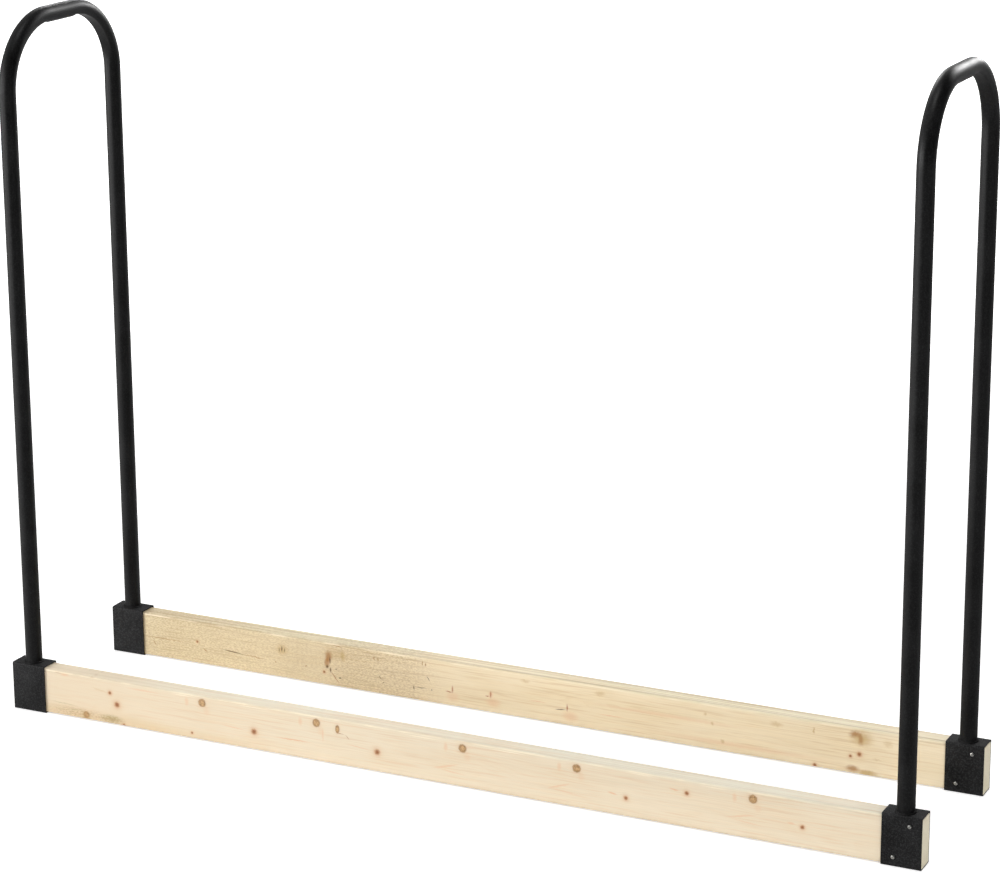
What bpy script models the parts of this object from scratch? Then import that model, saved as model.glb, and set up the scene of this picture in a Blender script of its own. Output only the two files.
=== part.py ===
"""Firewood rack made of two welded end frames and two lengths of construction timber.

Each end frame is one steel tube bent into a tall hoop, whose two open ends stand on
two rectangular sleeves and are welded there. The timber rails slide into the sleeves,
flush with their outer ends, and two screws through each sleeve pin them. The left end
frame is the same part as the right one, turned half a turn about the vertical.

Metres, +X along the rails, -Y is the front, +Z up. The origin is on the ground, at the
middle of the rack's footprint.
"""

import math

import bmesh
import bpy
from mathutils import Matrix, Vector

# Clearance between pieces that touch on the real rack
FIT_GAP = 0.0003

# Timber rails, a planed two-by-four six feet long
RAIL_LENGTH = 1.829
RAIL_HEIGHT = 0.089
RAIL_THICKNESS = 0.038
RAIL_EASED_EDGE = 0.003
RAIL_EDGE_SEGMENTS = 3
RAIL_SPACING = 0.356

# Steel sleeves, welded from sheet, open at both ends
SLEEVE_LENGTH = 0.072
SLEEVE_WALL = 0.002
SLEEVE_CORNER_RADIUS = 0.003
SLEEVE_CORNER_SEGMENTS = 3
SLEEVE_SIDE_CLEARANCE = 0.0005
SLEEVE_TOP_CLEARANCE = 0.0017

# Hoops, bent from inch-and-a-quarter tube
RACK_HEIGHT = 1.346
TUBE_DIAMETER = 0.03175
TUBE_WALL = 0.0015
BEND_RADIUS = 0.133
BEND_STEPS = 14
TUBE_SIDES = 24

# The former presses the inner wall of each bend flat: how deep, over how many degrees
# the flat fades in from the leg, and over what length of the straight top it runs out
PRESS_DEPTH = 0.003
PRESS_LEAD_IN = 28.0
PRESS_RUN_OUT = 0.006

# Fillet weld round the foot of each leg
WELD_LEG = 0.0028
WELD_BULGE = 0.0004
WELD_ARC_STEPS = 5
WELD_STEPS = 36

# Pan-head screws, two through the same face of every sleeve
SCREW_HEAD_DIAMETER = 0.0072
SCREW_HEAD_HEIGHT = 0.0024
SCREW_HEAD_EDGE = 0.0008
SCREW_DOME_STEPS = 5
SCREW_DIAMETER = 0.0035
SCREW_LENGTH = 0.025
SCREW_POINT_LENGTH = 0.005
SCREW_SIDES = 16
SCREW_OUTWARD = 0.014
SCREW_UPWARD = 0.030
RECESS_LENGTH = 0.0038
RECESS_WIDTH = 0.0009
RECESS_DEPTH = 0.0012

# Sizes that follow from those above
SLEEVE_THICKNESS = RAIL_THICKNESS + 2 * (SLEEVE_SIDE_CLEARANCE + SLEEVE_WALL)
SLEEVE_HEIGHT = RAIL_HEIGHT + FIT_GAP + SLEEVE_TOP_CLEARANCE + 2 * SLEEVE_WALL
RAIL_CENTRE_HEIGHT = SLEEVE_WALL + FIT_GAP + RAIL_HEIGHT / 2
FRAME_OFFSET = (RAIL_LENGTH - SLEEVE_LENGTH) / 2
LEG_OFFSET = RAIL_SPACING / 2
TUBE_RADIUS = TUBE_DIAMETER / 2
HOOP_FOOT = SLEEVE_HEIGHT + FIT_GAP
HOOP_TOP = RACK_HEIGHT - TUBE_RADIUS
BEND_CENTRE_OFFSET = LEG_OFFSET - BEND_RADIUS
BEND_CENTRE_HEIGHT = HOOP_TOP - BEND_RADIUS
SCREW_RADIUS = SCREW_DIAMETER / 2
SCREW_HOLE_RADIUS = (SCREW_RADIUS + FIT_GAP) / math.cos(math.pi / SCREW_SIDES)
PILOT_DEPTH = SCREW_LENGTH - SLEEVE_WALL - SLEEVE_SIDE_CLEARANCE

# A profile turned about its axis closes where points lie nearer than this
MERGE_DISTANCE = 0.00001
SMOOTH_ANGLE = math.radians(35)


def clear_scene():
    """Removes every object that the file holds."""
    for old in list(bpy.data.objects):
        bpy.data.objects.remove(old, do_unlink=True)


def make_collection(name):
    """Returns a new collection, linked to the scene."""
    collection = bpy.data.collections.new(name)
    bpy.context.scene.collection.children.link(collection)
    return collection


def make_material(name, colour, roughness, metallic):
    """Returns a Principled material with one colour."""
    material = bpy.data.materials.new(name)
    material.use_nodes = True
    shader = material.node_tree.nodes["Principled BSDF"]
    shader.inputs["Base Color"].default_value = (*colour, 1.0)
    shader.inputs["Roughness"].default_value = roughness
    shader.inputs["Metallic"].default_value = metallic
    material.diffuse_color = (*colour, 1.0)
    return material


def mesh_from_bmesh(name, bm):
    """Turns a bmesh into mesh data and frees it."""
    mesh = bpy.data.meshes.new(name)
    bm.to_mesh(mesh)
    bm.free()
    return mesh


def add_object(name, mesh, collection, parent=None, location=(0, 0, 0), turn=(0, 0, 0)):
    """Links a new object that shows the mesh at a place."""
    piece = bpy.data.objects.new(name, mesh)
    collection.objects.link(piece)
    piece.parent = parent
    piece.location = location
    piece.rotation_euler = turn
    return piece


def add_cutter(name, bm, collection):
    """Links a shape that only cuts other shapes."""
    cutter = add_object(name, mesh_from_bmesh(name, bm), collection)
    cutter.hide_render = True
    cutter.display_type = "WIRE"
    return cutter


def subtract(target, cutter):
    """Cuts one closed shape out of another."""
    cut = target.modifiers.new(cutter.name, "BOOLEAN")
    cut.operation = "DIFFERENCE"
    cut.solver = "EXACT"
    cut.object = cutter


def finished_mesh(template, material, smooth):
    """Returns the template's mesh with its modifiers applied, and removes the template."""
    bpy.context.view_layer.update()
    evaluated = template.evaluated_get(bpy.context.evaluated_depsgraph_get())
    mesh = bpy.data.meshes.new_from_object(evaluated)
    mesh.name = template.name
    mesh.materials.clear()
    mesh.materials.append(material)
    if smooth:
        mesh.shade_smooth()
        mesh.set_sharp_from_angle(angle=SMOOTH_ANGLE)
    bpy.data.objects.remove(template, do_unlink=True)
    return mesh


def block(size, centre=(0, 0, 0)):
    """Returns a bmesh box of a size about a centre."""
    bm = bmesh.new()
    place = Matrix.Translation(centre) @ Matrix.Diagonal((*size, 1.0))
    bmesh.ops.create_cube(bm, size=1.0, matrix=place)
    return bm


def round_long_edges(bm, radius, segments):
    """Rounds the box edges that run along X."""
    along = [e for e in bm.edges if abs((e.verts[0].co - e.verts[1].co).normalized().x) > 0.99]
    bmesh.ops.bevel(
        bm, geom=along, offset=radius, offset_type="OFFSET", segments=segments,
        profile=0.5, affect="EDGES",
    )


def screw_offsets():
    """Returns each screw's place on a sleeve: name, outward of and above its centre."""
    return (
        ("upper", SCREW_OUTWARD, SCREW_UPWARD),
        ("lower", -SCREW_OUTWARD, -SCREW_UPWARD),
    )


def hole_cutter(name, centre, depth, cutters):
    """Returns a rod along Y that reaches a depth to either side of its centre."""
    bm = bmesh.new()
    place = Matrix.Translation(centre) @ Matrix.Rotation(math.radians(90), 4, "X")
    bmesh.ops.create_cone(
        bm, cap_ends=True, segments=SCREW_SIDES, radius1=SCREW_HOLE_RADIUS,
        radius2=SCREW_HOLE_RADIUS, depth=2 * depth, matrix=place,
    )
    return add_cutter(name, bm, cutters)


def rail_mesh(parts, cutters, material):
    """Returns a timber rail with eased long edges and a blind pilot hole for every screw."""
    bm = block((RAIL_LENGTH, RAIL_THICKNESS, RAIL_HEIGHT))
    round_long_edges(bm, RAIL_EASED_EDGE, RAIL_EDGE_SEGMENTS)
    rail = add_object("rail", mesh_from_bmesh("rail", bm), parts)
    sleeve_centre = SLEEVE_HEIGHT / 2 - RAIL_CENTRE_HEIGHT
    for end in (1, -1):
        for label, outward, upward in screw_offsets():
            centre = (
                end * (FRAME_OFFSET + outward),
                -end * RAIL_THICKNESS / 2,
                sleeve_centre + upward,
            )
            subtract(rail, hole_cutter(f"pilot_{end}_{label}", centre, PILOT_DEPTH, cutters))
    return finished_mesh(rail, material, smooth=False)


def sleeve_mesh(parts, cutters, material):
    """Returns an open rectangular sleeve along X with two screw holes in its -Y wall."""
    bm = block((SLEEVE_LENGTH, SLEEVE_THICKNESS, SLEEVE_HEIGHT))
    round_long_edges(bm, SLEEVE_CORNER_RADIUS, SLEEVE_CORNER_SEGMENTS)
    ends = [f for f in bm.faces if abs(f.normal.x) > 0.99]
    bmesh.ops.delete(bm, geom=ends, context="FACES_ONLY")
    sleeve = add_object("sleeve", mesh_from_bmesh("sleeve", bm), parts)
    wall = sleeve.modifiers.new("wall", "SOLIDIFY")
    wall.thickness = SLEEVE_WALL
    wall.offset = -1.0
    wall.use_even_offset = True
    for label, outward, upward in screw_offsets():
        centre = (outward, -SLEEVE_THICKNESS / 2, upward)
        subtract(sleeve, hole_cutter(f"sleeve_hole_{label}", centre, 2 * SLEEVE_WALL, cutters))
    return finished_mesh(sleeve, material, smooth=True)


def hoop_path():
    """Returns the tube's centre line in the YZ plane, from the front foot to the rear foot."""
    half = [(-LEG_OFFSET, HOOP_FOOT)]
    for step in range(BEND_STEPS + 1):
        angle = math.radians(90) * step / BEND_STEPS
        across = -BEND_CENTRE_OFFSET - BEND_RADIUS * math.cos(angle)
        half.append((across, BEND_CENTRE_HEIGHT + BEND_RADIUS * math.sin(angle)))
    half.append((-BEND_CENTRE_OFFSET + PRESS_RUN_OUT, HOOP_TOP))
    return half + [(-across, height) for across, height in reversed(half)]


def smooth_step(value):
    """Eases a value from 0 to 1 and holds it outside that range."""
    share = min(max(value, 0.0), 1.0)
    return share * share * (3 - 2 * share)


def press_bend(point):
    """Moves a point of the tube's inner wall to the flat that the bending former leaves."""
    across = abs(point.y)
    if across >= BEND_CENTRE_OFFSET:
        arm = Vector((0, across - BEND_CENTRE_OFFSET, point.z - BEND_CENTRE_HEIGHT))
        turned = math.degrees(math.atan2(arm.z, arm.y))
        flat = BEND_RADIUS - TUBE_RADIUS + PRESS_DEPTH * smooth_step(turned / PRESS_LEAD_IN)
        if 0 < turned and arm.length < flat:
            arm *= flat / arm.length
            point.y = math.copysign(BEND_CENTRE_OFFSET + arm.y, point.y)
            point.z = BEND_CENTRE_HEIGHT + arm.z
        return
    run_out = 1 - (BEND_CENTRE_OFFSET - across) / PRESS_RUN_OUT
    flat = HOOP_TOP - TUBE_RADIUS + PRESS_DEPTH * max(run_out, 0.0)
    point.z = max(point.z, flat)


def hoop_mesh(parts, material):
    """Returns the hollow bent tube, open at both feet, with its bends pressed."""
    curve = bpy.data.curves.new("hoop_centre_line", "CURVE")
    curve.dimensions = "3D"
    curve.bevel_depth = TUBE_RADIUS
    curve.bevel_resolution = (TUBE_SIDES - 4) // 2
    curve.use_fill_caps = False
    spline = curve.splines.new("POLY")
    path = hoop_path()
    spline.points.add(len(path) - 1)
    for point, (across, height) in zip(spline.points, path):
        point.co = (0, across, height, 1)
    centre_line = add_object("hoop_centre_line", curve, parts)
    skin = finished_mesh(centre_line, material, smooth=True)
    for vertex in skin.vertices:
        press_bend(vertex.co)
    hoop = add_object("hoop", skin, parts)
    wall = hoop.modifiers.new("wall", "SOLIDIFY")
    wall.thickness = TUBE_WALL
    wall.offset = -1.0
    wall.use_even_offset = True
    return finished_mesh(hoop, material, smooth=True)


def turned_object(name, profile, closed, sides, parts):
    """Adds the shape that a profile of (radius, height) points sweeps about Z."""
    bm = bmesh.new()
    points = [bm.verts.new((radius, 0, height)) for radius, height in profile]
    for first, second in zip(points, points[1:]):
        bm.edges.new((first, second))
    if closed:
        bm.edges.new((points[-1], points[0]))
    turned = add_object(name, mesh_from_bmesh(name, bm), parts)
    screw = turned.modifiers.new("turn", "SCREW")
    screw.steps = sides
    screw.render_steps = sides
    screw.use_merge_vertices = True
    screw.merge_threshold = MERGE_DISTANCE
    return turned


def weld_profile():
    """Returns the weld's section: a convex face between a wall on the tube and its base."""
    inner = TUBE_RADIUS + FIT_GAP
    face = []
    for step in range(WELD_ARC_STEPS + 1):
        share = step / WELD_ARC_STEPS
        bulge = WELD_BULGE * math.sin(math.pi * share)
        face.append((inner + WELD_LEG * share + bulge, WELD_LEG * (1 - share) + bulge))
    return face + [(inner, 0)]


def weld_mesh(parts, material):
    """Returns the fillet weld as a ring about Z that stands on Z = 0."""
    ring = turned_object("weld", weld_profile(), True, WELD_STEPS, parts)
    return finished_mesh(ring, material, smooth=True)


def screw_profile():
    """Returns half the screw's outline, from the top of its domed head to its point."""
    head_radius = SCREW_HEAD_DIAMETER / 2
    dome = SCREW_HEAD_HEIGHT - SCREW_HEAD_EDGE
    outline = []
    for step in range(SCREW_DOME_STEPS + 1):
        angle = math.radians(90) * step / SCREW_DOME_STEPS
        outline.append((head_radius * math.sin(angle), SCREW_HEAD_EDGE + dome * math.cos(angle)))
    outline += [(head_radius, 0), (SCREW_RADIUS, 0)]
    outline += [(SCREW_RADIUS, SCREW_POINT_LENGTH - SCREW_LENGTH), (0, -SCREW_LENGTH)]
    return outline


def screw_mesh(parts, cutters, material):
    """Returns a pan-head screw along Z, its head's seat at Z = 0, with a cross recess."""
    screw = turned_object("screw", screw_profile(), False, SCREW_SIDES, parts)
    centre = (0, 0, SCREW_HEAD_HEIGHT)
    for label, size in (
        ("recess_along", (RECESS_LENGTH, RECESS_WIDTH, 2 * RECESS_DEPTH)),
        ("recess_across", (RECESS_WIDTH, RECESS_LENGTH, 2 * RECESS_DEPTH)),
    ):
        subtract(screw, add_cutter(label, block(size, centre), cutters))
    return finished_mesh(screw, material, smooth=True)


def add_rails(mesh, parts):
    """Lays the front and the rear rail on the floors of their sleeves."""
    for label, side in (("front_rail", -1), ("rear_rail", 1)):
        add_object(label, mesh, parts, location=(0, side * LEG_OFFSET, RAIL_CENTRE_HEIGHT))


def add_end_frame(end, meshes, parts):
    """Adds one end frame on an empty; the left one is turned half a turn about Z."""
    label = "right" if end > 0 else "left"
    frame = add_object(f"{label}_end_frame", None, parts)
    frame.location = (end * FRAME_OFFSET, 0, 0)
    frame.rotation_euler = (0, 0, 0 if end > 0 else math.pi)
    add_object(f"{label}_hoop", meshes["hoop"], parts, frame)
    for side in (-1, 1):
        corner = f"{'front' if side * end < 0 else 'rear'}_{label}"
        across = side * LEG_OFFSET
        place = (0, across, SLEEVE_HEIGHT / 2)
        add_object(f"{corner}_sleeve", meshes["sleeve"], parts, frame, place)
        place = (0, across, HOOP_FOOT)
        add_object(f"{corner}_weld", meshes["weld"], parts, frame, place)
        for height, outward, upward in screw_offsets():
            seat = across - SLEEVE_THICKNESS / 2 - FIT_GAP
            place = (outward, seat, SLEEVE_HEIGHT / 2 + upward)
            turn = (math.radians(90), 0, 0)
            add_object(f"{corner}_screw_{height}", meshes["screw"], parts, frame, place, turn)


def build():
    """Builds the rack."""
    clear_scene()
    parts = make_collection("firewood_rack")
    cutters = make_collection("cutters")
    cutters.hide_render = True
    hoop_coat = make_material("hoop_black_coat", (0.022, 0.022, 0.023), 0.45, 0.0)
    sleeve_coat = make_material("sleeve_black_coat", (0.018, 0.018, 0.019), 0.55, 0.0)
    weld_coat = make_material("weld_black_coat", (0.016, 0.016, 0.017), 0.5, 0.0)
    zinc = make_material("screw_zinc", (0.62, 0.62, 0.60), 0.35, 1.0)
    pine = make_material("rail_pine", (0.80, 0.64, 0.44), 0.65, 0.0)
    meshes = {
        "hoop": hoop_mesh(parts, hoop_coat),
        "sleeve": sleeve_mesh(parts, cutters, sleeve_coat),
        "weld": weld_mesh(parts, weld_coat),
        "screw": screw_mesh(parts, cutters, zinc),
    }
    add_rails(rail_mesh(parts, cutters, pine), parts)
    for end in (1, -1):
        add_end_frame(end, meshes, parts)


build()
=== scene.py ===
"""Dresses the firewood rack: black coated hoops and sleeves, zinc screws and knotty pine.

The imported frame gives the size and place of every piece. Each class models one kind of
piece with Blender's own tools where the frame holds its first solid, stands copies of it
at the others, and dresses them. Metres; +X runs along the rails, -Y is the front, +Z is up.
"""

import logging
import math
import random
from abc import ABC, abstractmethod
from collections.abc import Callable, Iterator
from dataclasses import asdict, dataclass
from enum import Enum
from typing import ClassVar

import bmesh
import bpy
from mathutils import Matrix, Vector


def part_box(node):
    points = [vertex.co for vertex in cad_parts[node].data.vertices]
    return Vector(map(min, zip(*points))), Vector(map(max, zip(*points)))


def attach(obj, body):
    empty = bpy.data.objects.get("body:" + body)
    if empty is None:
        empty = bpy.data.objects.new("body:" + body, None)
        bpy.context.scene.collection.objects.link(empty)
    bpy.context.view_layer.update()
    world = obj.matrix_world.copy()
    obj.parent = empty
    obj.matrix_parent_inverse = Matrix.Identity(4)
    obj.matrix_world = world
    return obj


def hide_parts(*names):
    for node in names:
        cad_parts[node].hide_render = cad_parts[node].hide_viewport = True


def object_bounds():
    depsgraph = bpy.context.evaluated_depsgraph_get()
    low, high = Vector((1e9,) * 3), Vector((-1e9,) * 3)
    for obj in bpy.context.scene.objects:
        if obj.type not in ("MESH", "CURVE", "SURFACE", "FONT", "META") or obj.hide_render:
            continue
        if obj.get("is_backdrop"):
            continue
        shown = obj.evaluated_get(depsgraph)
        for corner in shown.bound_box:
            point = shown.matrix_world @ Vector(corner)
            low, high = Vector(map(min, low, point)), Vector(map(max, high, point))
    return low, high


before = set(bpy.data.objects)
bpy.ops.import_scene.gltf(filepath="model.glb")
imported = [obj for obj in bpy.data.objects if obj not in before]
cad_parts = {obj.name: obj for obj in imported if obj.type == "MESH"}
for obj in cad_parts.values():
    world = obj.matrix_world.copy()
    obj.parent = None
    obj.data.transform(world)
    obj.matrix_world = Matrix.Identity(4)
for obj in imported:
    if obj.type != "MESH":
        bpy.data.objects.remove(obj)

LOG = logging.getLogger("firewood_rack")

Colour = tuple[float, float, float]
Place = tuple[float, float, float]
Socket = bpy.types.NodeSocket
Outputs = bpy.types.NodeOutputs
Tree = bpy.types.NodeTree
Material = bpy.types.Material
Piece = bpy.types.Object

BODY = "root"
CREASE = math.radians(35)
RIM_ANGLE = math.radians(50)
NEAR = 0.00001
MM_PER_METRE = 1000

# A direction runs along an axis where its part along that axis is larger than this
STRAIGHT = 0.99


class Named(Enum):
    """An option whose name stands in the names of pieces."""

    @property
    def label(self) -> str:
        """The option's word."""
        return self.name.lower()


class End(Named):
    """An end of the rack, and how far its frame is turned about the upright."""

    LEFT = math.pi
    RIGHT = 0.0


class Side(Named):
    """A side of the rack, and the way it lies along Y."""

    FRONT = -1
    REAR = 1


class Row(Named):
    """A screw's place in its sleeve, and the way it lies along Z."""

    UPPER = 1
    LOWER = -1


class Element(Enum):
    """The elements of a mesh, and the word that a bmesh lists them under."""

    FACE = "faces"
    EDGE = "edges"
    VERT = "verts"


def corners(part: str) -> Iterator[tuple[str, End]]:
    """Yields the name of a part's solid at each corner of the rack, and the corner's end."""
    return ((f"{side.label}_{end.label}_{part}", end) for end in End for side in Side)


def middle(node: str) -> Vector:
    """Returns the middle of a solid's box."""
    low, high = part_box(node)
    return (low + high) / 2


def srgb(red: int, green: int, blue: int) -> Colour:
    """Turns a colour of 0 to 255 into the linear values that a shader takes."""
    parts = (red / 255, green / 255, blue / 255)
    return tuple(p / 12.92 if p <= 0.04045 else ((p + 0.055) / 1.055) ** 2.4 for p in parts)


# Modelling


def only(piece: Piece) -> None:
    """Makes one piece the only selected one and the active one.

    Args:
        piece: The piece to work on.
    """
    bpy.ops.object.select_all(action="DESELECT")
    piece.select_set(True)
    bpy.context.view_layer.objects.active = piece


def settle(piece: Piece) -> None:
    """Puts a piece's place, turn and scale into its mesh."""
    only(piece)
    bpy.ops.object.transform_apply(location=True, rotation=True, scale=True)


def discard(piece: Piece) -> None:
    """Throws away a piece that has done its work."""
    bpy.data.objects.remove(piece, do_unlink=True)


def begin(name: str) -> Piece:
    """Names the primitive just added, settles its place and opens it in edit mode.

    Args:
        name: The piece's name.

    Returns:
        The piece, in edit mode with nothing selected.
    """
    piece = bpy.context.object
    piece.name = piece.data.name = name
    settle(piece)
    bpy.ops.object.mode_set(mode="EDIT")
    bpy.ops.mesh.select_mode(type="VERT")
    bpy.ops.mesh.select_all(action="DESELECT")
    return piece


def pick(piece: Piece, kind: Element, test: Callable[[Vector, Vector], bool]) -> None:
    """Selects the faces, edges or corners of a piece in edit mode that pass a test.

    Args:
        piece: The piece, in edit mode.
        kind: Which of them to select.
        test: Takes a middle and a direction: a face's or corner's normal, or an edge's
            own direction.
    """
    bpy.ops.mesh.select_mode(type=kind.name)
    bpy.ops.mesh.select_all(action="DESELECT")
    work = bmesh.from_edit_mesh(piece.data)
    work.normal_update()
    for part in getattr(work, kind.value):
        if kind is Element.FACE:
            centre, way = part.calc_center_median(), part.normal
        elif kind is Element.EDGE:
            ends = part.verts[0].co, part.verts[1].co
            centre, way = (ends[0] + ends[1]) / 2, (ends[1] - ends[0]).normalized()
        else:
            centre, way = part.co, part.normal
        part.select_set(test(centre, way))
    work.select_flush_mode()
    bmesh.update_edit_mesh(piece.data)


def leave(piece: Piece) -> Piece:
    """Merges doubles, turns the faces outwards and leaves edit mode.

    Args:
        piece: The piece, in edit mode.

    Returns:
        The same piece.
    """
    bpy.ops.mesh.select_all(action="SELECT")
    bpy.ops.mesh.remove_doubles(threshold=NEAR)
    bpy.ops.mesh.normals_make_consistent(inside=False)
    bpy.ops.object.mode_set(mode="OBJECT")
    return piece


def extrude(move: Place) -> None:
    """Extrudes what is selected in edit mode by a move."""
    bpy.ops.mesh.extrude_region_move(TRANSFORM_OT_translate={"value": move})


def round_edges(radius: float, steps: int) -> None:
    """Rounds the edges that are selected in edit mode."""
    bpy.ops.mesh.bevel(
        offset=radius, offset_type="OFFSET", segments=steps, profile=0.5, affect="EDGES"
    )


def bar(name: str, node: str, radius: float, steps: int) -> Piece:
    """Makes a bar that fills a solid's box, with its edges along X rounded.

    Args:
        name: The bar's name.
        node: The solid.
        radius: The edges' radius.
        steps: How many faces go round an edge.

    Returns:
        The bar, in edit mode.
    """
    low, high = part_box(node)
    bpy.ops.mesh.primitive_cube_add(size=1.0, location=middle(node))
    bpy.context.object.scale = high - low
    piece = begin(name)
    pick(piece, Element.EDGE, lambda centre, way: abs(way.x) > STRAIGHT)
    round_edges(radius, steps)
    return piece


def modify(piece: Piece, kind: str, **settings: object) -> None:
    """Adds a modifier to a piece and applies it at once.

    Args:
        piece: The piece.
        kind: The modifier's type.
        **settings: The modifier's settings.
    """
    only(piece)
    tool = piece.modifiers.new(kind.lower(), kind)
    for key, value in settings.items():
        setattr(tool, key, value)
    bpy.ops.object.modifier_apply(modifier=tool.name)


def thicken(shell: Piece, wall: float) -> None:
    """Gives an open shell its wall, on the inner side."""
    modify(shell, "SOLIDIFY", thickness=wall, offset=-1.0, use_even_offset=True)


def break_rims(piece: Piece, width: float, steps: int) -> None:
    """Rounds a piece's sharp edges a little."""
    settings = {"limit_method": "ANGLE", "angle_limit": RIM_ANGLE}
    modify(piece, "BEVEL", width=width, segments=steps, **settings)


def carve(piece: Piece, cutter: Piece) -> None:
    """Cuts a closed shape out of a piece and throws the shape away."""
    modify(piece, "BOOLEAN", operation="DIFFERENCE", solver="EXACT", object=cutter)
    discard(cutter)


def drill(piece: Piece, screws: list[str], radius: float, sides: int) -> None:
    """Drills a hole through a piece for each screw, as long as the screw.

    Args:
        piece: The piece.
        screws: The screws' solids.
        radius: The holes' radius.
        sides: How many sides a hole has.
    """
    for screw in screws:
        low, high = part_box(screw)
        bpy.ops.mesh.primitive_cylinder_add(
            vertices=sides, radius=radius, depth=high.y - low.y, location=middle(screw),
            rotation=(math.pi / 2, 0, 0),
        )
        bit = bpy.context.object
        settle(bit)
        carve(piece, bit)


def stand(pattern: Piece, source: str, node: str, turn: float, twist: float) -> Piece:
    """Copies a pattern with its mesh from one solid's place to another's.

    Args:
        pattern: The piece, modelled where the source lies.
        source: The solid that it was modelled on.
        node: The solid that the copy stands for.
        turn: How far the copy is turned about the upright.
        twist: How far it is first twisted about its own middle, along Y.

    Returns:
        The copy, with its origin at the world's.
    """
    only(pattern)
    bpy.ops.object.duplicate(linked=False)
    piece = bpy.context.object
    piece.name = piece.data.name = f"{node}_dressed"
    piece.matrix_world = (
        Matrix.Translation(middle(node))
        @ Matrix.Rotation(turn, 4, "Z")
        @ Matrix.Rotation(twist, 4, "Y")
        @ Matrix.Translation(-middle(source))
    )
    settle(piece)
    return piece


def deliver(piece: Piece, node: str, finish: Material, slot: str) -> None:
    """Dresses a finished piece, sets it in for its solid and reports it.

    Args:
        piece: The finished piece.
        node: The solid that it stands for.
        finish: Its material.
        slot: Not used.
    """
    only(piece)
    bpy.ops.object.shade_smooth_by_angle(angle=CREASE)
    piece.data.materials.clear()
    piece.data.materials.append(finish)
    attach(piece, BODY)
    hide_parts(node)
    LOG.info("%s: %d faces, %s", piece.name, len(piece.data.polygons), finish.name)


# Node sheets


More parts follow.
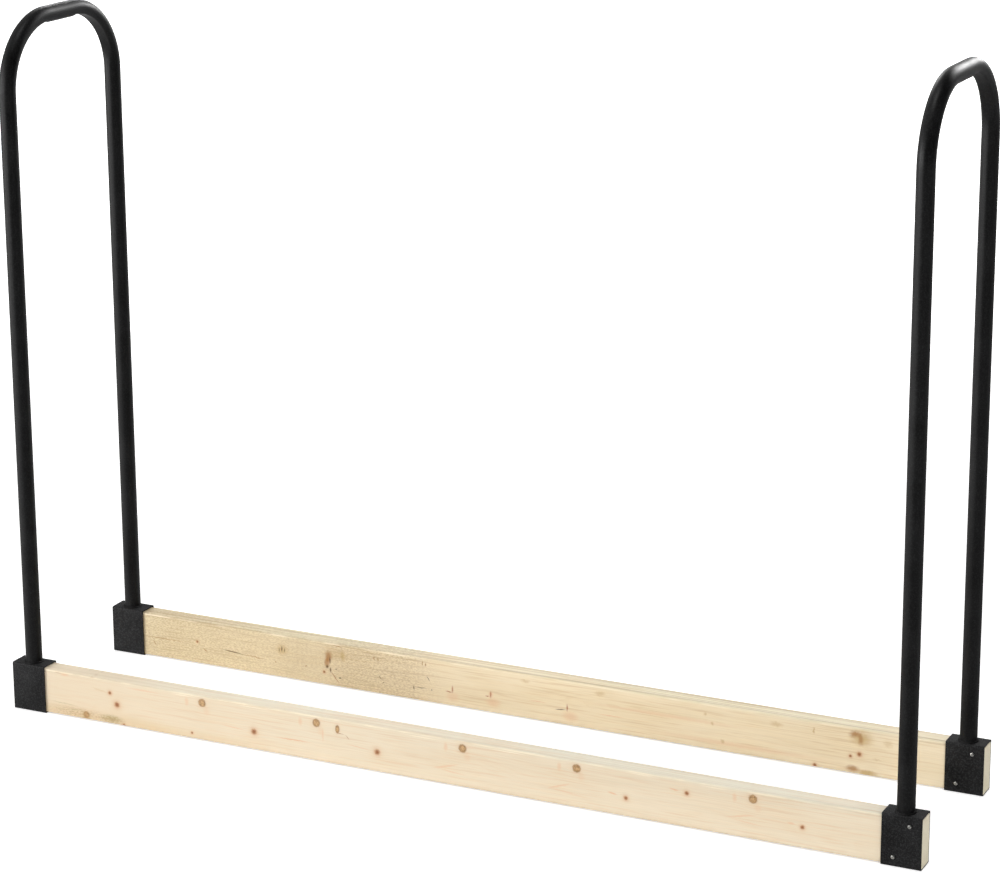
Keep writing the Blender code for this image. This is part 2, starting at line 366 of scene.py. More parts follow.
class Sheet:
    """Adds nodes to the tree of one material or group and links them."""

    def __init__(self, tree: Tree) -> None:
        """Keeps the tree to work on."""
        self.tree = tree

    def feed(self, node: bpy.types.Node, values: dict[int | str, object]) -> None:
        """Links inputs of a node to other sockets, or sets their constants.

        Args:
            node: The node.
            values: An output socket, a number or a tuple for each input, by its name or place.
        """
        for key, value in values.items():
            socket = node.inputs[key]
            if isinstance(value, bpy.types.NodeSocket):
                self.tree.links.new(value, socket)
            elif isinstance(value, tuple) and socket.type == "RGBA":
                socket.default_value = (*value, 1.0)
            else:
                socket.default_value = value

    def add(
        self, kind: str, values: dict[int | str, object] | None = None, **settings: object
    ) -> bpy.types.Node:
        """Adds a node.

        Args:
            kind: The node's type.
            values: What its inputs get, by name or place.
            **settings: Values of the node's own properties.

        Returns:
            The node.
        """
        node = self.tree.nodes.new(kind)
        for key, value in settings.items():
            setattr(node, key, value)
        self.feed(node, values or {})
        return node

    def math(self, operation: str, *values: object, clamp: bool = False) -> Socket:
        """Works out a number; a clamped one stays within 0 and 1."""
        settings = {"operation": operation, "use_clamp": clamp}
        return self.add("ShaderNodeMath", dict(enumerate(values)), **settings).outputs[0]

    def times(self, first: object, second: object) -> Socket:
        """Multiplies two numbers."""
        return self.math("MULTIPLY", first, second)

    def minus(self, whole: object, part: object) -> Socket:
        """Takes one number from another."""
        return self.math("SUBTRACT", whole, part)

    def vector(self, operation: str, *values: object) -> Socket:
        """Works out a vector, or the length of one."""
        node = self.add("ShaderNodeVectorMath", dict(enumerate(values)), operation=operation)
        return node.outputs["Value" if operation == "LENGTH" else "Vector"]

    def split(self, vector: Socket) -> tuple[Socket, Socket, Socket]:
        """Splits a vector into its three parts."""
        return tuple(self.add("ShaderNodeSeparateXYZ", {0: vector}).outputs)

    def join(self, along: object, across: object, height: object) -> Socket:
        """Joins three numbers to a vector."""
        return self.add("ShaderNodeCombineXYZ", {0: along, 1: across, 2: height}).outputs[0]

    def fade(
        self, value: object, start: object, end: object, low: float = 0.0, high: float = 1.0
    ) -> Socket:
        """Maps a number smoothly from the range of start to end to that of low to high."""
        values = {0: value, 1: start, 2: end, 3: low, 4: high}
        return self.add("ShaderNodeMapRange", values, interpolation_type="SMOOTHSTEP").outputs[0]

    def noise(
        self, place: Socket, scale: object, detail: float = 2.0, roughness: float = 0.5,
        output: int | str = 0,
    ) -> Socket:
        """Adds a noise about 0.5, with a scale in waves per metre and finer layers of detail."""
        values = {"Vector": place, "Scale": scale, "Detail": detail, "Roughness": roughness}
        return self.add("ShaderNodeTexNoise", values).outputs[output]

    def drawn_noise(
        self, place: Socket, along: float, across: float, detail: float = 2.0
    ) -> Socket:
        """Adds a noise with its own waves per metre along X and across it."""
        drawn = self.vector("MULTIPLY", place, (along, across, across))
        return self.noise(drawn, 1.0, detail, 0.6)

    def wander(
        self, place: Socket, read: Socket, scale: float, reach: object, detail: float = 2.0
    ) -> Socket:
        """Moves a place by a noise.

        Args:
            place: The place.
            read: Where the noise is read.
            scale: Its waves per metre.
            reach: How far it moves the place along each axis.
            detail: How many finer layers it has.

        Returns:
            The moved place.
        """
        drift = self.noise(read, scale, detail, output="Color")
        drift = self.vector("SUBTRACT", drift, (0.5, 0.5, 0.5))
        return self.vector("ADD", place, self.vector("MULTIPLY", drift, reach))

    def mix(self, share: object, first: object, second: object, blend: str = "MIX") -> Socket:
        """Mixes two colours, of which the share is the second's."""
        settings = {"data_type": "RGBA", "blend_type": blend}
        return self.add("ShaderNodeMix", {0: share, 6: first, 7: second}, **settings).outputs[2]

    def group(self, effect: Tree, **values: object) -> Outputs:
        """Places a node group, feeds its inputs by name and returns its outputs."""
        return self.add("ShaderNodeGroup", values, node_tree=effect).outputs

    def bump(self, height: Socket, depth: float, strength: float) -> Socket:
        """Makes a normal that follows a height, of which 1 is a depth in metres."""
        values = {"Height": height, "Distance": depth, "Strength": strength}
        return self.add("ShaderNodeBump", values).outputs[0]

    def object_place(self, centre: Place = (0, 0, 0)) -> Socket:
        """Reads the place on the object, as measured from a centre."""
        values = {"Vector": self.add("ShaderNodeTexCoord").outputs["Object"], "Location": centre}
        return self.add("ShaderNodeMapping", values, vector_type="TEXTURE").outputs[0]


def new_effect(
    name: str, inputs: tuple[str, ...], outputs: tuple[str, ...]
) -> tuple[Tree, Sheet, Outputs, bpy.types.Node]:
    """Starts a shader node group, whose sockets Place and Grain are vectors.

    Args:
        name: The group's name.
        inputs: The names of its inputs.
        outputs: The names of its outputs.

    Returns:
        The group, a sheet to add nodes with, what the group is given, and its output node.
    """
    effect = bpy.data.node_groups.new(name, "ShaderNodeTree")
    for way, keys in (("INPUT", inputs), ("OUTPUT", outputs)):
        for key in keys:
            kind = "NodeSocketVector" if key in ("Place", "Grain") else "NodeSocketFloat"
            effect.interface.new_socket(key, in_out=way, socket_type=kind)
    sheet = Sheet(effect)
    return effect, sheet, sheet.add("NodeGroupInput").outputs, sheet.add("NodeGroupOutput")


def new_finish(name: str) -> tuple[Material, Tree, bpy.types.Node]:
    """Starts a material.

    Args:
        name: The material's name.

    Returns:
        The material, its tree and its Principled shader.
    """
    material = bpy.data.materials.new(name)
    material.use_nodes = True
    return material, material.node_tree, material.node_tree.nodes["Principled BSDF"]


# Metal finishes


def coat_grain(cloud_scale: float = 16.0) -> Tree:
    """Makes the effect of a baked powder coat: soft peel, raised specks and cloudy tone.

    Args:
        cloud_scale: The clouds' waves per metre.

    Returns:
        The node group.
    """
    effect, sheet, got, result = new_effect(
        "coat_grain", ("Place", "Peel Scale", "Speck Scale"), ("Height", "Speck", "Cloud")
    )
    peel = sheet.noise(got["Place"], got["Peel Scale"], 1.0)
    speck = sheet.noise(got["Place"], got["Speck Scale"], 3.0, 0.6)
    sheet.feed(result, {
        "Height": sheet.math("MULTIPLY_ADD", speck, 1.2, peel),
        "Speck": sheet.fade(speck, 0.44, 0.66),
        "Cloud": sheet.noise(got["Place"], cloud_scale, 4.0),
    })
    return effect


@dataclass(frozen=True)
class PowderCoat:
    """A black powder coat, baked on steel."""

    name: str
    deep: Colour
    pale: Colour
    roughness: float
    gloss: float
    peel_scale: float
    speck_scale: float
    relief: float
    rim: float = 0.6

    def material(self, effect: Tree) -> Material:
        """Makes the coat's material.

        Args:
            effect: The coat_grain group.

        Returns:
            The material.
        """
        material, tree, shader = new_finish(self.name)
        sheet = Sheet(tree)
        scales = {"Peel Scale": self.peel_scale, "Speck Scale": self.speck_scale}
        grain = sheet.group(effect, Place=sheet.object_place(), **scales)
        tone = sheet.math("MULTIPLY_ADD", sheet.fade(grain["Cloud"], 0.3, 0.75), 0.4,
                          sheet.times(grain["Speck"], 0.6))
        facing = sheet.add("ShaderNodeLayerWeight", {"Blend": 0.5}).outputs["Facing"]
        edge = sheet.fade(facing, 0.25, 0.65, 0.0, self.rim)
        rough = sheet.fade(grain["Cloud"], 0.3, 0.7, self.roughness - 0.04, self.roughness + 0.05)
        sheet.feed(shader, {
            "Base Color": sheet.mix(tone, self.deep, self.pale),
            "Roughness": sheet.math("ADD", rough, edge, clamp=True),
            "Specular IOR Level": self.gloss,
            "Normal": sheet.bump(grain["Height"], self.relief, 0.5),
        })
        return material


@dataclass(frozen=True)
class ZincPlate:
    """Dull zinc on a rolled steel screw."""

    name: str = "dull_zinc"
    pale: Colour = (0.52, 0.52, 0.49)
    deep: Colour = (0.20, 0.20, 0.188)
    roughness: float = 0.24
    cloud_scale: float = 700.0
    fine_scale: float = 5200.0
    relief: float = 0.00002

    def material(self) -> Material:
        """Makes the plating's material.

        Returns:
            The material.
        """
        material, tree, shader = new_finish(self.name)
        sheet = Sheet(tree)
        place = sheet.object_place()
        cloud = sheet.noise(place, self.cloud_scale, 3.0)
        fine = sheet.noise(place, self.fine_scale, 2.0)
        sheet.feed(shader, {
            "Base Color": sheet.mix(cloud, self.pale, self.deep),
            "Roughness": sheet.fade(
                cloud, 0.3, 0.7, self.roughness - 0.08, self.roughness + 0.1
            ),
            "Metallic": 1.0,
            "Normal": sheet.bump(fine, self.relief, 0.4),
        })
        return material


# Wood


@dataclass(frozen=True)
class GrowthRings:
    """The effect of a log's rings and fibres: the waves per metre along it and across."""

    wander: float = 2.4
    ripple: tuple[float, float] = (11.0, 70.0)
    cloud: tuple[float, float] = (5.0, 24.0)
    fibre: tuple[float, float] = (7.0, 520.0)

    def group(self) -> Tree:
        """Makes the rings and fibres round a wandering pith.

        Returns:
            The node group.
        """
        effect, sheet, got, result = new_effect(
            "growth_rings", ("Grain", "Pith Across", "Pith Height", "Spacing", "Wander"),
            ("Late Wood", "Fibre", "Cloud"),
        )
        grain = got["Grain"]
        read = sheet.vector("MULTIPLY", grain, (1.0, 0.9, 0.9))
        reach = sheet.join(0.0, got["Wander"], got["Wander"])
        moved = sheet.wander(grain, read, self.wander, reach)
        pith = sheet.join(0.0, got["Pith Across"], got["Pith Height"])
        away = sheet.vector("MULTIPLY", sheet.vector("SUBTRACT", moved, pith), (0.0, 1.0, 1.0))
        turns = sheet.math("DIVIDE", sheet.vector("LENGTH", away), got["Spacing"])
        turns = sheet.math("MULTIPLY_ADD", sheet.drawn_noise(grain, *self.ripple), 0.9, turns)
        year = sheet.noise(sheet.join(0.0, 0.0, sheet.times(turns, 0.9)), 1.0, 1.0)
        phase = sheet.math("FRACT", turns)
        cloud = sheet.drawn_noise(grain, *self.cloud, 3.0)
        late = sheet.times(sheet.fade(phase, 0.4, 0.9), sheet.fade(phase, 1.0, 0.93))
        late = sheet.times(late, sheet.fade(year, 0.32, 0.66))
        sheet.feed(result, {
            "Late Wood": sheet.times(late, sheet.fade(cloud, 0.35, 0.62, 0.15, 1.0)),
            "Fibre": sheet.drawn_noise(grain, *self.fibre, 3.0),
            "Cloud": cloud,
        })
        return effect


@dataclass(frozen=True)
class KnotMark:
    """The effect of one knot, with sizes as shares of its radius."""

    edge: float = 1.05
    unevenness: float = 0.6
    rim: float = 0.88
    rim_fade: tuple[float, float] = (0.26, 0.02)
    halo_start: float = 0.8
    halo_fall: float = 1.9
    push_fall: float = 1.0

    def group(self) -> Tree:
        """Makes the knot's heart, rim and halo, and the grain that parts round it.

        Returns:
            The node group.
        """
        chain = ("Grain", "Heart", "Rim", "Halo", "Depth")
        own = ("Place", "Uneven", "Softness", "Along", "Height", "Radius", "Tall", "Lean")
        effect, sheet, got, result = new_effect("knot_mark", own + chain, chain)
        along, across, height = sheet.split(got["Place"])
        gone = sheet.math("MULTIPLY_ADD", across, got["Lean"], sheet.minus(along, got["Along"]))
        risen = sheet.minus(height, got["Height"])
        away = sheet.join(gone, 0.0, sheet.math("DIVIDE", risen, got["Tall"]))
        away = sheet.math("DIVIDE", sheet.vector("LENGTH", away), got["Radius"])
        away = sheet.math("MULTIPLY_ADD", got["Uneven"], self.unevenness, away)
        heart = sheet.fade(away, self.edge, got["Softness"])
        rim = sheet.fade(sheet.math("ABSOLUTE", sheet.minus(away, self.rim)), *self.rim_fade)
        out = sheet.math("MAXIMUM", sheet.minus(away, self.halo_start), 0.0)
        halo = sheet.math("EXPONENT", sheet.times(out, -self.halo_fall))
        push = sheet.math("EXPONENT", sheet.times(out, -self.push_fall))
        moved = sheet.join(0.0, 0.0, sheet.times(risen, push))
        deeper = sheet.times(sheet.minus(away, got["Depth"]), heart)
        values = {"Heart": heart, "Rim": rim, "Halo": halo}
        sheet.feed(result, {
            "Grain": sheet.vector("SUBTRACT", got["Grain"], moved),
            "Depth": sheet.math("ADD", got["Depth"], deeper),
            **{key: sheet.math("MAXIMUM", got[key], value) for key, value in values.items()},
        })
        return effect


def smudge_mark(fade: tuple[float, float] = (1.0, 0.15)) -> Tree:
    """Makes the effect of one soft mark, added to those before it.

    Args:
        fade: Where in its half size the mark starts and where it is full.

    Returns:
        The node group.
    """
    own = ("Place", "Along", "Height", "Length", "Width", "Strength", "Slope")
    effect, sheet, got, result = new_effect("smudge_mark", (*own, "Mark"), ("Mark",))
    along, _, height = sheet.split(got["Place"])
    gone = sheet.minus(along, got["Along"])
    risen = sheet.minus(height, got["Height"])
    risen = sheet.minus(risen, sheet.times(gone, got["Slope"]))
    gone = sheet.math("DIVIDE", gone, got["Length"])
    away = sheet.join(gone, 0.0, sheet.math("DIVIDE", risen, got["Width"]))
    mark = sheet.times(sheet.fade(sheet.vector("LENGTH", away), *fade), got["Strength"])
    sheet.feed(result, {"Mark": sheet.math("ADD", got["Mark"], mark, clamp=True)})
    return effect


@dataclass(frozen=True)
class WoodEffects:
    """The node groups that a rail's wood is made of."""

    rings: Tree
    knot: Tree
    smudge: Tree


@dataclass(frozen=True)
class Mark:
    """A mark on a rail: its place from the rail's middle, in metres."""

    along: float
    height: float

    def inputs(self) -> dict[str, float]:
        """Returns the mark's fields under the names of its node group's inputs."""
        return {name.title(): value for name, value in asdict(self).items()}


@dataclass(frozen=True)
class Knot(Mark):
    """A knot: its radius, how tall it is to its width, and how it leans into the rail."""

    radius: float
    tall: float = 1.0
    lean: float = 0.15


@dataclass(frozen=True)
class Smudge(Mark):
    """A soft mark: its half length, half width, strength and slope."""

    length: float
    width: float
    strength: float
    slope: float = 0.0


def knots(*rows: tuple[float, ...]) -> tuple[Knot, ...]:
    """Makes knots from rows of place, height and radius in millimetres, and how tall."""
    return tuple(Knot(*(size / MM_PER_METRE for size in row[:3]), *row[3:]) for row in rows)


def smudges(*rows: tuple[float, ...]) -> tuple[Smudge, ...]:
    """Makes smudges from rows of place and half size in millimetres, strength and slope."""
    return tuple(Smudge(*(size / MM_PER_METRE for size in row[:4]), *row[4:]) for row in rows)


@dataclass(frozen=True)
class Stain:
    """Marks of one colour, and how far their outlines wander, in metres: real stains, and the
    painted highlight strokes along the front rail's eased top edge.
    """

    colour: Colour
    ragged: float
    marks: tuple[Smudge, ...]


@dataclass(frozen=True)
class Pine:
    """Planed softwood: its colours, the pith's place, and what marks its faces.

    Patterns have their waves per metre along the rail and across it, and bands their
    distances from its top or its end, in metres.
    """

    name: str
    pale: Colour
    warm: Colour
    late: Colour
    pith: tuple[float, float]
    spacing: float
    wander: float
    late_share: float
    sound_knots: tuple[Knot, ...]
    red_knots: tuple[Knot, ...]
    stains: tuple[Stain, ...]
    rough: tuple[Smudge, ...]
    rough_share: float
    top: Colour
    top_lines: float
    # how strongly the painted highlight along the eased edges shows on this wood
    ridge_share: float

    gloss: float = 0.25
    relief: float = 0.0002
    sound_softness: float = 0.72
    red_softness: float = 0.20
    mottle_scale: float = 260.0
    ragged_scale: float = 190.0
    streaks: tuple[float, float] = (7.0, 260.0)
    flecks: tuple[float, float] = (190.0, 640.0)
    tears: tuple[float, float] = (11.0, 380.0)
    patches: tuple[float, float] = (5.0, 8.0)
    lines: tuple[float, float] = (1.4, 300.0)
    breaks: tuple[float, float] = (9.0, 0.0)
    pores: tuple[float, float] = (300.0, 900.0)
    top_fade: tuple[float, float] = (-0.8, -0.4)
    top_drop: tuple[float, float] = (0.006, 0.0005)
    line_drop: tuple[float, float] = (0.008, 0.003)
    # where the painted edge highlight lies below the top, and how it fades out
    ridge_drop: float = 0.0024
    ridge_fade: tuple[float, float] = (0.0022, 0.0006)
    end_drop: tuple[float, float] = (0.0006, 0.0002)

    knot_heart: Colour = srgb(206, 166, 116)
    knot_body: Colour = srgb(180, 140, 92)
    knot_dark: Colour = srgb(138, 102, 62)
    red_heart: Colour = srgb(150, 94, 58)
    red_glow: Colour = srgb(216, 168, 124)
    line: Colour = srgb(170, 138, 96)
    # pale colour of the highlight painted along the eased top edges
    ridge: Colour = srgb(252, 238, 210)
    end_pale: Colour = srgb(238, 230, 206)
    end_late: Colour = srgb(206, 188, 152)

    def material(self, node: str, effects: WoodEffects) -> Material:
        """Makes the wood's material for a rail.

        Args:
            node: The rail's solid.
            effects: The node groups.

        Returns:
            The material.
        """
        material, tree, shader = new_finish(self.name)
        sheet = RailSheet(tree, self, effects, node)
        sound = sheet.chain_knots(self.sound_knots, self.sound_softness, sheet.place)
        red = sheet.chain_knots(self.red_knots, self.red_softness, sound["Grain"])
        pith = {"Pith Across": self.pith[0], "Pith Height": self.pith[1]}
        rings = sheet.group(
            effects.rings, Grain=red["Grain"], Spacing=self.spacing, Wander=self.wander, **pith
        )
        sheet.lay_clear_wood(rings)
        for stain in self.stains:
            sheet.lay_stain(stain)
        sheet.lay_knots(sound, red)
        sheet.lay_rough_wood()
        sheet.lay_top()
        sheet.lay_sawn_ends(rings["Late Wood"])
        rough = sheet.fade(rings["Fibre"], 0.2, 0.8, 0.62, 0.74)
        height = sheet.math("MULTIPLY_ADD", rings["Late Wood"], 0.5, rings["Fibre"])
        sheet.feed(shader, {
            "Base Color": sheet.face,
            "Roughness": sheet.minus(rough, sheet.times(sound["Heart"], 0.15)),
            "Specular IOR Level": self.gloss,
            "Normal": sheet.bump(height, self.relief, 0.35),
        })
        return material


class RailSheet(Sheet):
    """Paints the wood of one rail, a layer at a time."""

    def __init__(self, tree: Tree, wood: Pine, effects: WoodEffects, node: str) -> None:
        """Reads the place on the rail from its middle, and what mottles its knots.

        Args:
            tree: The material's tree.
            wood: The wood.
            effects: The node groups.
            node: The rail's solid.
        """
        super().__init__(tree)
        low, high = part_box(node)
        self.wood = wood
        self.effects = effects
        self.half = (high - low) / 2
        self.place = self.object_place(tuple(middle(node)))
        self.uneven = self.minus(self.noise(self.place, wood.mottle_scale, 3.0, 0.6), 0.5)
        self.face: object = wood.pale

    def lay(self, colour: object, mark: object, strength: float = 1.0, blend: str = "MIX") -> None:
        """Lays a colour over the face where a mark shows, at a strength of the mark's."""
        self.face = self.mix(self.times(mark, strength), self.face, colour, blend)

    def chain_knots(
        self, knots: tuple[Knot, ...], softness: float, grain: Socket
    ) -> dict[str, Socket]:
        """Chains one knot group after another.

        Args:
            knots: The knots.
            softness: Where in its radius a knot is full.
            grain: The place that the grain is read at so far.

        Returns:
            The last group's values, by name.
        """
        state = {"Grain": grain, "Heart": 0.0, "Rim": 0.0, "Halo": 0.0, "Depth": 0.0}
        shared = {"Place": self.place, "Uneven": self.uneven, "Softness": softness}
        for knot in knots:
            outputs = self.group(self.effects.knot, **shared, **state, **knot.inputs())
            state = {key: outputs[key] for key in state}
        return state

    def chain_smudges(self, smudges: tuple[Smudge, ...], place: Socket) -> object:
        """Chains one smudge group after another.

        Args:
            smudges: The smudges.
            place: The place that they are read at.

        Returns:
            How strongly they show.
        """
        shown: object = 0.0
        for one in smudges:
            outputs = self.group(self.effects.smudge, Place=place, Mark=shown, **one.inputs())
            shown = outputs["Mark"]
        return shown

    def lay_clear_wood(self, rings: Outputs) -> None:
        """Colours the wood between its marks.

        Args:
            rings: The growth rings' values.
        """
        wood = self.wood
        self.lay(wood.warm, self.fade(rings["Cloud"], 0.3, 0.7))
        self.lay(wood.late, rings["Late Wood"], wood.late_share)
        streak = self.drawn_noise(self.place, *wood.streaks, 3.0)
        self.lay(wood.late, self.fade(streak, 0.5, 0.7, 0.0, 0.5))
        tone = self.fade(rings["Fibre"], 0.25, 0.75, 0.96, 1.03)
        self.lay(self.join(tone, tone, tone), 1.0, blend="MULTIPLY")

    def lay_stain(self, stain: Stain) -> None:
        """Lays the marks of one colour with ragged outlines, for stains and for the painted edge
        highlight alike.

        Args:
            stain: One colour's marks; most are stains, one set is the painted edge highlight.
        """
        reach = (4 * stain.ragged,) * 3
        ragged = self.wander(self.place, self.place, self.wood.ragged_scale, reach, 3.0)
        self.lay(stain.colour, self.chain_smudges(stain.marks, ragged))

    def lay_knots(self, sound: dict[str, Socket], red: dict[str, Socket]) -> None:
        """Lays the knots over the wood.

        Args:
            sound: The values of the sound knots.
            red: The values of the red pin knots.
        """
        wood = self.wood
        self.lay(wood.red_glow, sound["Halo"], 0.3)
        depth = self.math("MULTIPLY_ADD", self.uneven, 2.2, sound["Depth"])
        core = self.mix(self.fade(depth, 0.15, 0.45), wood.knot_heart, wood.knot_body)
        core = self.mix(self.fade(depth, 0.55, 1.0), core, wood.knot_dark)
        self.lay(core, sound["Heart"], 0.92)
        self.lay(wood.knot_dark, sound["Rim"], 0.22)
        self.lay(wood.red_glow, red["Halo"], 0.75)
        self.lay(wood.red_heart, red["Heart"], 0.95)

    def lay_rough_wood(self) -> None:
        """Flecks the parts where the planer tore the fibres."""
        wood = self.wood
        fleck = self.fade(self.drawn_noise(self.place, *wood.flecks, 1.0), 0.60, 0.38)
        fleck = self.times(fleck, wood.rough_share)
        tear = self.fade(self.drawn_noise(self.place, *wood.tears), 0.54, 0.68, 0.0, 0.55)
        torn = self.mix(self.math("MAXIMUM", fleck, tear), self.face, wood.line)
        self.lay(torn, self.chain_smudges(wood.rough, self.place))

    def lay_top(self) -> None:
        """Tints the top, draws the grain along it and paints a broken highlight along its eased
        edges.
        """
        wood = self.wood
        crest = self.half.z
        along, _, height = self.split(self.place)
        patch = self.fade(self.drawn_noise(self.place, *wood.patches), 0.35, 0.6, 0.35, 1.0)
        patch = self.times(patch, self.fade(along, *wood.top_fade, 0.25, 1.0))
        top = self.fade(height, *(crest - drop for drop in wood.top_drop))
        self.lay(wood.top, self.times(top, patch), blend="MULTIPLY")
        lines = self.fade(self.drawn_noise(self.place, *wood.lines, 1.0), 0.51, 0.62)
        upper = self.fade(height, *(crest - drop for drop in wood.line_drop))
        self.lay(wood.line, self.times(lines, upper), wood.top_lines)
        # painted highlight: a pale broken line along the eased top edges
        ridge = self.math("ABSOLUTE", self.minus(height, crest - wood.ridge_drop))
        edge_highlight_gaps = self.drawn_noise(self.place, *wood.breaks)
        edge_highlight_gaps = self.fade(edge_highlight_gaps, 0.44, 0.58, 0.1, wood.ridge_share)
        self.lay(wood.ridge, self.times(self.fade(ridge, *wood.ridge_fade), edge_highlight_gaps))

    def lay_sawn_ends(self, late: Socket) -> None:
        """Gives the sawn ends their rings and pores.

        Args:
            late: The growth rings' late wood.
        """
        wood = self.wood
        pores = self.fade(self.drawn_noise(self.place, *wood.pores, 3.0), 0.4, 0.8, 0.0, 0.5)
        share = self.math("MULTIPLY_ADD", late, 0.9, pores)
        cut = self.mix(share, wood.end_pale, wood.end_late)
        along = self.math("ABSOLUTE", self.split(self.place)[0])
        self.lay(cut, self.fade(along, *(self.half.x - drop for drop in wood.end_drop)))


# Pieces


@dataclass
class Part(ABC):
    """A kind of piece that is modelled once and stood wherever the frame has one."""

    source: ClassVar[str]
    slot: ClassVar[str]

    finish: Material

    @abstractmethod
    def build(self) -> Piece:
        """Models the pattern where its source solid lies."""

    @abstractmethod
    def spots(self) -> Iterator[tuple[str, float, float]]:
        """Yields each solid, and the turn and twist of its copy."""

    def dress(self, pattern: Piece) -> None:
        """Stands a copy of the pattern for each solid and coats it.

        Args:
            pattern: The pattern.
        """
        for node, turn, twist in self.spots():
            piece = stand(pattern, self.source, node, turn, twist)
            deliver(piece, node, self.finish, self.slot)
        discard(pattern)


@dataclass
class Hoop(Part):
    """A tall hoop of round tube, with two bends that a former has pressed flat inside."""

    source = "right_hoop"
    slot = "hoop_coat"

    bend_radius: float = 0.133
    wall: float = 0.0015
    sides: int = 64
    bend_steps: int = 48
    press_depth: float = 0.0042
    press_lead_in: float = math.radians(28)
    press_run_out: float = 0.006
    run_out_steps: int = 4
    former_width: float = 0.06
    shoe: float = 0.018

    def build(self) -> Piece:
        """Sweeps the tube over its path, presses its bends and gives it its wall.

        Returns:
            The hoop's pattern.
        """
        low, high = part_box(self.source)
        radius = (high.x - low.x) / 2
        centre = (high.x + low.x) / 2
        leg = high.y - radius
        turn = Vector((centre, leg - self.bend_radius, high.z - radius - self.bend_radius))
        run_out = [self.press_run_out / self.run_out_steps] * self.run_out_steps

        bpy.ops.mesh.primitive_circle_add(
            vertices=self.sides, radius=radius, fill_type="NOTHING", location=(centre, -leg, low.z)
        )
        hoop = begin("hoop_pattern")
        bpy.ops.mesh.select_all(action="SELECT")
        extrude((0, 0, turn.z - low.z))
        self._bend(Vector((centre, -turn.y, turn.z)))
        for step in (*run_out, 2 * (turn.y - self.press_run_out), *run_out):
            extrude((0, step, 0))
        self._bend(turn)
        extrude((0, 0, low.z - turn.z))
        leave(hoop)
        for side in Side:
            self._press(hoop, Vector((centre, side.value * turn.y, turn.z)), radius, side)
        thicken(hoop, self.wall)
        return hoop

    def spots(self) -> Iterator[tuple[str, float, float]]:
        """Yields the hoop of each end."""
        return ((f"{end.label}_hoop", end.value, 0.0) for end in End)

    def _bend(self, centre: Vector) -> None:
        """Spins the tube's open end a quarter turn about a centre."""
        bpy.ops.mesh.spin(steps=self.bend_steps, angle=math.pi / 2, center=centre, axis=(1, 0, 0))

    def _press(self, hoop: Piece, centre: Vector, radius: float, side: Side) -> None:
        """Presses a bend's inner wall against a former.

        Args:
            hoop: The bent tube.
            centre: The bend's centre.
            radius: The tube's radius.
            side: The side that the bend is on.
        """
        former = self._former(centre, self.bend_radius - radius + self.press_depth, side)
        held = hoop.vertex_groups.new(name="pressed")
        for point in hoop.data.vertices:
            across = (point.co.y - centre.y) * side.value
            rise = point.co.z - centre.z
            if across >= 0:
                share = math.atan2(rise, across) / self.press_lead_in
            else:
                share = 1 + across / self.press_run_out
            share = min(max(share, 0.0), 1.0)
            if rise > 0 and share > 0:
                held.add([point.index], share * share * (3 - 2 * share), "REPLACE")
        modify(
            hoop, "SHRINKWRAP", target=former, wrap_method="NEAREST_SURFACEPOINT",
            wrap_mode="OUTSIDE", vertex_group=held.name,
        )
        hoop.vertex_groups.clear()
        discard(former)

    def _former(self, centre: Vector, reach: float, side: Side) -> Piece:
        """Makes the bending former: a quarter disc with a straight shoe at each end.

        Args:
            centre: The bend's centre.
            reach: The former's radius.
            side: The side that the bend is on.

        Returns:
            The former.
        """
        way = side.value
        place = centre + Vector((0, way * reach / 2, -self.shoe))
        bpy.ops.mesh.primitive_plane_add(size=1.0, location=place)
        bpy.context.object.scale = (self.former_width, reach, 1.0)
        former = begin("bending_former")
        bpy.ops.mesh.select_all(action="SELECT")
        extrude((0, 0, self.shoe))
        bpy.ops.mesh.spin(
            steps=2 * self.bend_steps, angle=-way * math.pi / 2, center=centre, axis=(1, 0, 0)
        )
        extrude((0, -way * self.shoe, 0))
        return leave(former)


@dataclass
class Sleeve(Part):
    """A rectangular steel sleeve, open at both ends, that holds a rail's end."""

    source = "front_right_sleeve"
    slot = "sleeve_coat"

    wall: float = 0.002
    corner_radius: float = 0.003
    corner_steps: int = 8
    rim_radius: float = 0.00035
    rim_steps: int = 3
    hole_radius: float = 0.0021
    hole_sides: int = 32

    def build(self) -> Piece:
        """Bends the sleeve's four walls, breaks its rims and drills its screw holes.

        Returns:
            The sleeve's pattern.
        """
        sleeve = bar("sleeve_pattern", self.source, self.corner_radius, self.corner_steps)
        pick(sleeve, Element.FACE, lambda centre, way: abs(way.x) > STRAIGHT)
        bpy.ops.mesh.delete(type="ONLY_FACE")
        leave(sleeve)
        thicken(sleeve, self.wall)
        break_rims(sleeve, self.rim_radius, self.rim_steps)
        screws = [f"front_right_screw_{row.label}" for row in Row]
        drill(sleeve, screws, self.hole_radius, self.hole_sides)
        return sleeve

    def spots(self) -> Iterator[tuple[str, float, float]]:
        """Yields the sleeve of each corner."""
        return ((node, end.value, 0.0) for node, end in corners("sleeve"))


